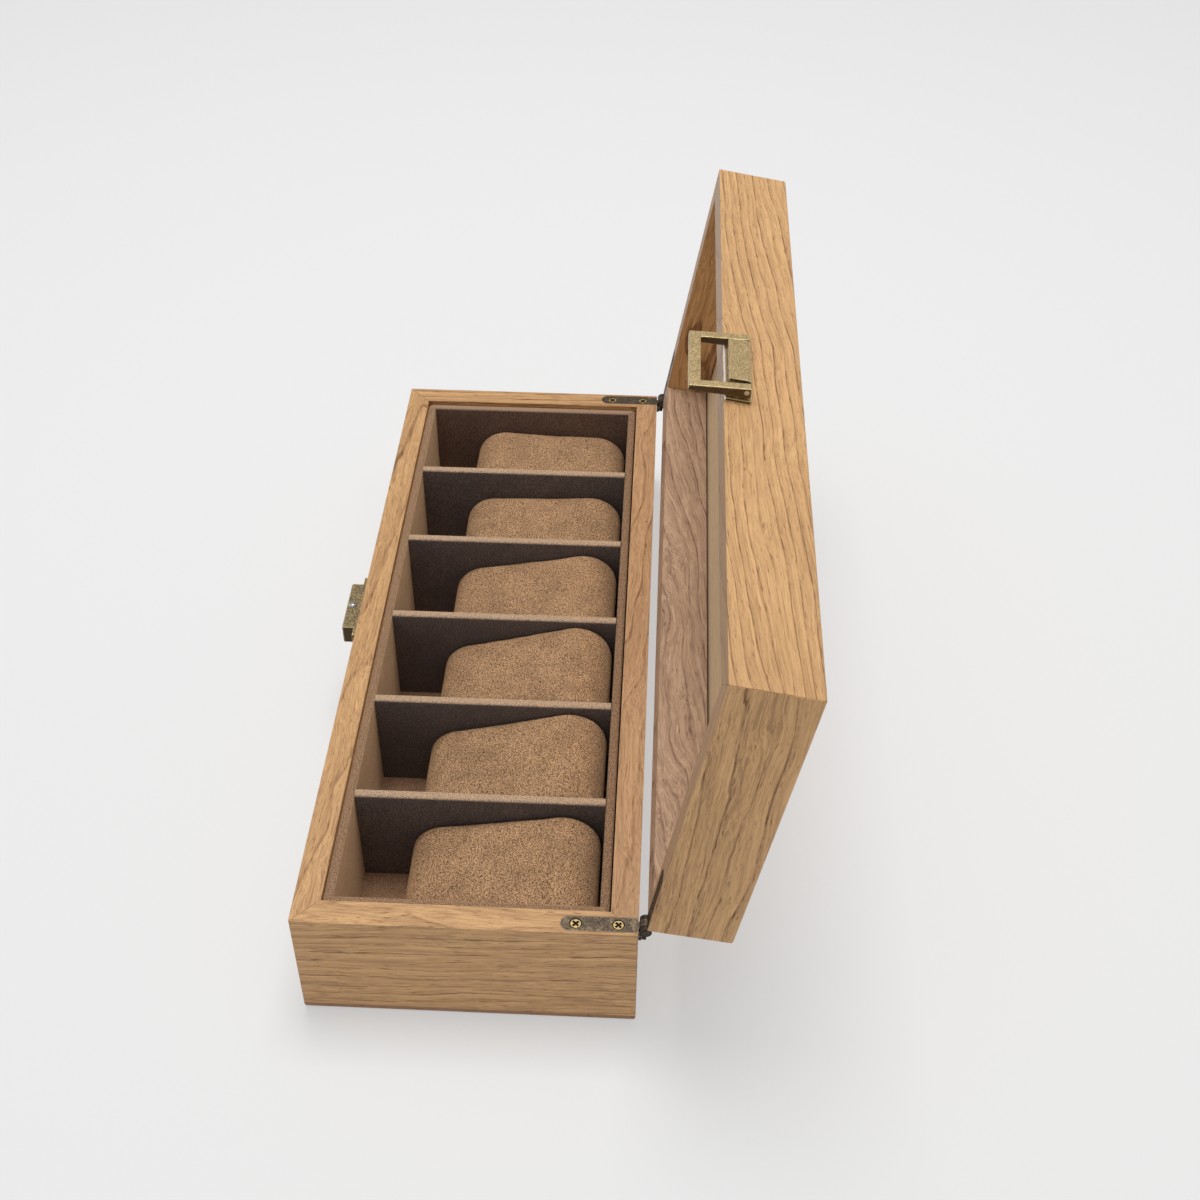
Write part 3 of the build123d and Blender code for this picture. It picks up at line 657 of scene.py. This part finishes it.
def dress_metal():
    rim = RIM * IN_MM
    plating = dict(base=colour(232, 204, 150), bright=colour(255, 246, 190), grime=colour(120, 97, 62),
                   rough=0.34, side=colour(76, 58, 38), edge=0.8 * MM, grain_scale=2.4)
    antique = metal("antique_brass", **plating)
    # The bracket's lip, up to LIP_HEIGHT over the rim, is a painted white glint
    bracket = metal("bracket_brass", below=rim + LIP_HEIGHT, below_tone=PAINTED_GLINT, in_lid=True, **plating)
    catch = metal("catch_brass", colour(174, 152, 112), colour(240, 216, 160), colour(62, 52, 36), 0.38,
                  side=colour(76, 62, 44), edge=0.6 * MM, grain_scale=1.5)
    bronze = metal("hinge_bronze", colour(110, 94, 75), colour(196, 176, 140), colour(50, 42, 35), 0.38,
                   side=colour(36, 32, 27), grain_scale=1.6, scuff=0.15)
    brass = metal("brad_brass", colour(212, 184, 124), colour(238, 216, 160), colour(140, 114, 72), 0.32)
    # Painted shade: under RECESS_DEPTH below the rim, the screws' recesses are dark
    screw = metal("screw_brass", colour(206, 176, 116), colour(232, 208, 150), colour(132, 106, 66), 0.34,
                  edge=0.2 * MM, below=rim - RECESS_DEPTH)
    # Painted shade: the lid's hinge leaves and knuckles are a darker copy of the base leaves' bronze
    shaded_lid_bronze = metal("hinge_lid_bronze_shaded", colour(66, 54, 42), colour(120, 98, 70), colour(40, 33, 27), 0.4,
                       side=colour(36, 32, 27))
    steel = metal("pin_steel", colour(222, 218, 212), colour(250, 250, 250), colour(150, 146, 140), 0.22)
    dark_pin = metal("pin_bronze", colour(70, 62, 52), colour(150, 128, 92), colour(44, 38, 32), 0.35)
    wear("hasp_bracket", bracket)
    wear("hasp_loop", antique)
    wear("catch_plate", catch)
    for side in ("left", "right"):
        wear(f"hinge_base_leaf_{side}", bronze)
        wear(f"hinge_lid_leaf_{side}", shaded_lid_bronze)
        wear(f"hinge_pin_{side}", dark_pin)
    wear("hinge_base_screws", screw)
    wear("hasp_brads", brass)
    wear("catch_brads", brass)
    wear("hinge_lid_screws", bronze)
    wear("hasp_pin", steel)
    wear("catch_screw", steel)


# ---------------------------------------------------------------- stage

CAMERA_AIM = Vector((-0.0095, 0.0365, RIM))
CAMERA_DISTANCE = 0.638
CAMERA_AZIMUTH = 92.405
CAMERA_ELEVATION = 41.681
CAMERA_ROLL = 0.372
CAMERA_LENS = 49.0
CAMERA_SENSOR = 36.0
CAMERA_CLIP = (0.02, 50.0)

LIGHT_AIM = Vector((0, 0.02, 0.05))
FLOOR_REACH = 12.0
FLOOR_DROP = 0.0002
FLOOR_GREY = (0.4, 0.4, 0.4, 1)
FLOOR_GLOW = 0.44
SKY_GREY = (0.83, 0.83, 0.83, 1)
# The sky dims from full strength at the horizon, between these two heights of a unit direction
SKY_DIMS = (0.1, 0.45)
SKY_STRENGTH = 0.36


def make_camera():
    data = bpy.data.cameras.new("camera")
    data.lens = CAMERA_LENS
    data.sensor_width = CAMERA_SENSOR
    data.clip_start, data.clip_end = CAMERA_CLIP
    camera = bpy.data.objects.new("camera", data)
    bpy.context.scene.collection.objects.link(camera)
    azimuth, elevation = math.radians(CAMERA_AZIMUTH), math.radians(CAMERA_ELEVATION)
    back = Vector((math.sin(azimuth) * math.cos(elevation),
                   -math.cos(azimuth) * math.cos(elevation),
                   math.sin(elevation)))
    camera.location = CAMERA_AIM + back * CAMERA_DISTANCE
    camera.rotation_mode = "QUATERNION"
    facing = (-back).to_track_quat("-Z", "Y")
    camera.rotation_quaternion = facing @ Matrix.Rotation(math.radians(CAMERA_ROLL), 3, "Z").to_quaternion()
    bpy.context.scene.camera = camera


def soft_light(name, place, size, power):
    """A square soft light at that place, aimed at the watch box."""
    data = bpy.data.lights.new(name, "AREA")
    data.shape = "SQUARE"
    data.size = size
    data.energy = power
    light = bpy.data.objects.new(name, data)
    light.location = place
    light.rotation_mode = "QUATERNION"
    light.rotation_quaternion = (LIGHT_AIM - Vector(place)).to_track_quat("-Z", "Y")
    bpy.context.scene.collection.objects.link(light)


def make_stage():
    mesh = bpy.data.meshes.new("floor")
    corners = [(x * FLOOR_REACH, y * FLOOR_REACH, 0) for x, y in ((-1, -1), (1, -1), (1, 1), (-1, 1))]
    mesh.from_pydata(corners, [], [(0, 1, 2, 3)])
    floor = bpy.data.objects.new("floor", mesh)
    floor.location.z = cad_low.z - FLOOR_DROP
    bpy.context.scene.collection.objects.link(floor)
    material, _, shader = new_material("floor_paper")
    shader.inputs["Base Color"].default_value = FLOOR_GREY
    shader.inputs["Roughness"].default_value = 0.9
    shader.inputs["Specular IOR Level"].default_value = 0.0
    shader.inputs["Emission Color"].default_value = (1, 1, 1, 1)
    shader.inputs["Emission Strength"].default_value = FLOOR_GLOW
    mesh.materials.append(material)

    soft_light("key_light", (-0.2, 0.02, 1.4), 0.6, 11.0)
    soft_light("top_light", (-0.1, -0.1, 2.0), 2.4, 11.0)

    world = bpy.data.worlds.new("studio")
    world.use_nodes = True
    g = Graph(world.node_tree)
    background = world.node_tree.nodes["Background"]
    background.inputs["Color"].default_value = SKY_GREY
    rise = g.math("ABSOLUTE", g.split(g.node("TexCoord").outputs["Generated"])[2])
    g.put(background.inputs["Strength"], g.step(rise, *SKY_DIMS, 1.0, SKY_STRENGTH))
    bpy.context.scene.world = world
    bpy.context.scene.view_settings.view_transform = "Standard"


dress_wood()
dress_lining()
make_pillows()
dress_metal()
make_camera()
make_stage()
